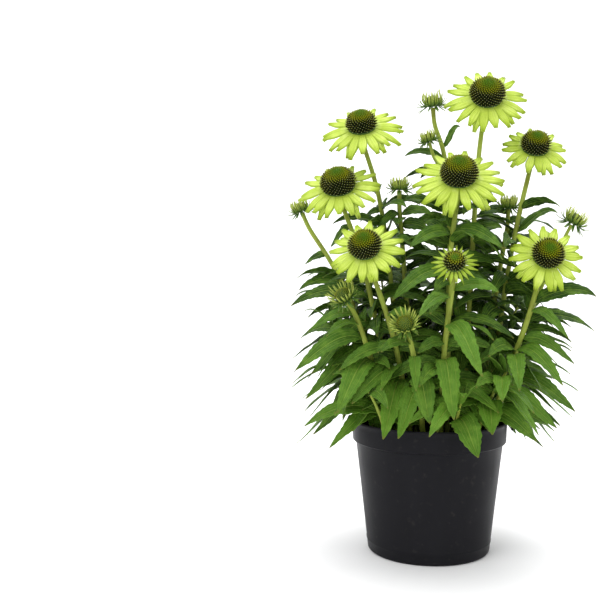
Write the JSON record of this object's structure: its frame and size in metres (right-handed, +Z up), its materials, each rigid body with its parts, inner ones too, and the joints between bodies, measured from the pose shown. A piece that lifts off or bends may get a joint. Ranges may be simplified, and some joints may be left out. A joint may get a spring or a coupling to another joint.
{
  "type": "potted coneflower plant",
  "caption": "Tall garden perennial with green daisy-like flowers around domed cones, spiky buds and toothed lance-shaped leaves, growing in a round black plastic nursery pot",
  "frame": {"origin": "the middle of the pot's underside, where the plant stands", "axes": "+Z runs up the plant; +X is to the right and -Y to the front, the side that most of the flowers face"},
  "size_m": [0.3149, 0.2664, 0.5019],
  "materials": {
    "pot_plastic": "satin moulded black plastic",
    "soil": "rough dark potting mix",
    "greenery": "matt green stem and leaf",
    "petals": "soft lime green ribbed petal",
    "cones": "stiff olive florets",
    "buds": "green pointed bracts"
  },
  "bodies": {
    "root": {"pot": "pot_plastic", "soil": "soil", "stem_top_right": "greenery", "stem_top_left": "greenery", "stem_right_mid": "greenery", "stem_centre": "greenery", "stem_left": "greenery", "stem_lower_left": "greenery", "stem_right_lower": "greenery", "stem_half_open": "greenery", "stem_bud_top": "greenery", "stem_bud_left_inner": "greenery", "stem_bud_right_inner": "greenery", "stem_bud_left_behind": "greenery", "stem_bud_lower_left": "greenery", "stem_bud_front": "greenery", "shoot_right": "greenery", "shoot_right_front": "greenery", "shoot_left": "greenery", "shoot_left_front": "greenery", "shoot_back_middle": "greenery", "shoot_back_left": "greenery", "shoot_back_right": "greenery", "shoot_far_left": "greenery", "shoot_far_right": "greenery", "shoot_front": "greenery", "petals_top_right": "petals", "petals_top_left": "petals", "petals_right_mid": "petals", "petals_centre": "petals", "petals_left": "petals", "petals_lower_left": "petals", "petals_right_lower": "petals", "petals_half_open": "petals", "cone_top_right": "cones", "cone_top_left": "cones", "cone_right_mid": "cones", "cone_centre": "cones", "cone_left": "cones", "cone_lower_left": "cones", "cone_right_lower": "cones", "cone_half_open": "cones", "bud_top": "buds", "bud_side": "buds", "bud_left_inner": "buds", "bud_right_inner": "buds", "bud_right_outer": "buds", "bud_left_behind": "buds", "bud_lower_left": "buds", "bud_front": "buds"}
  },
  "joints": []
}
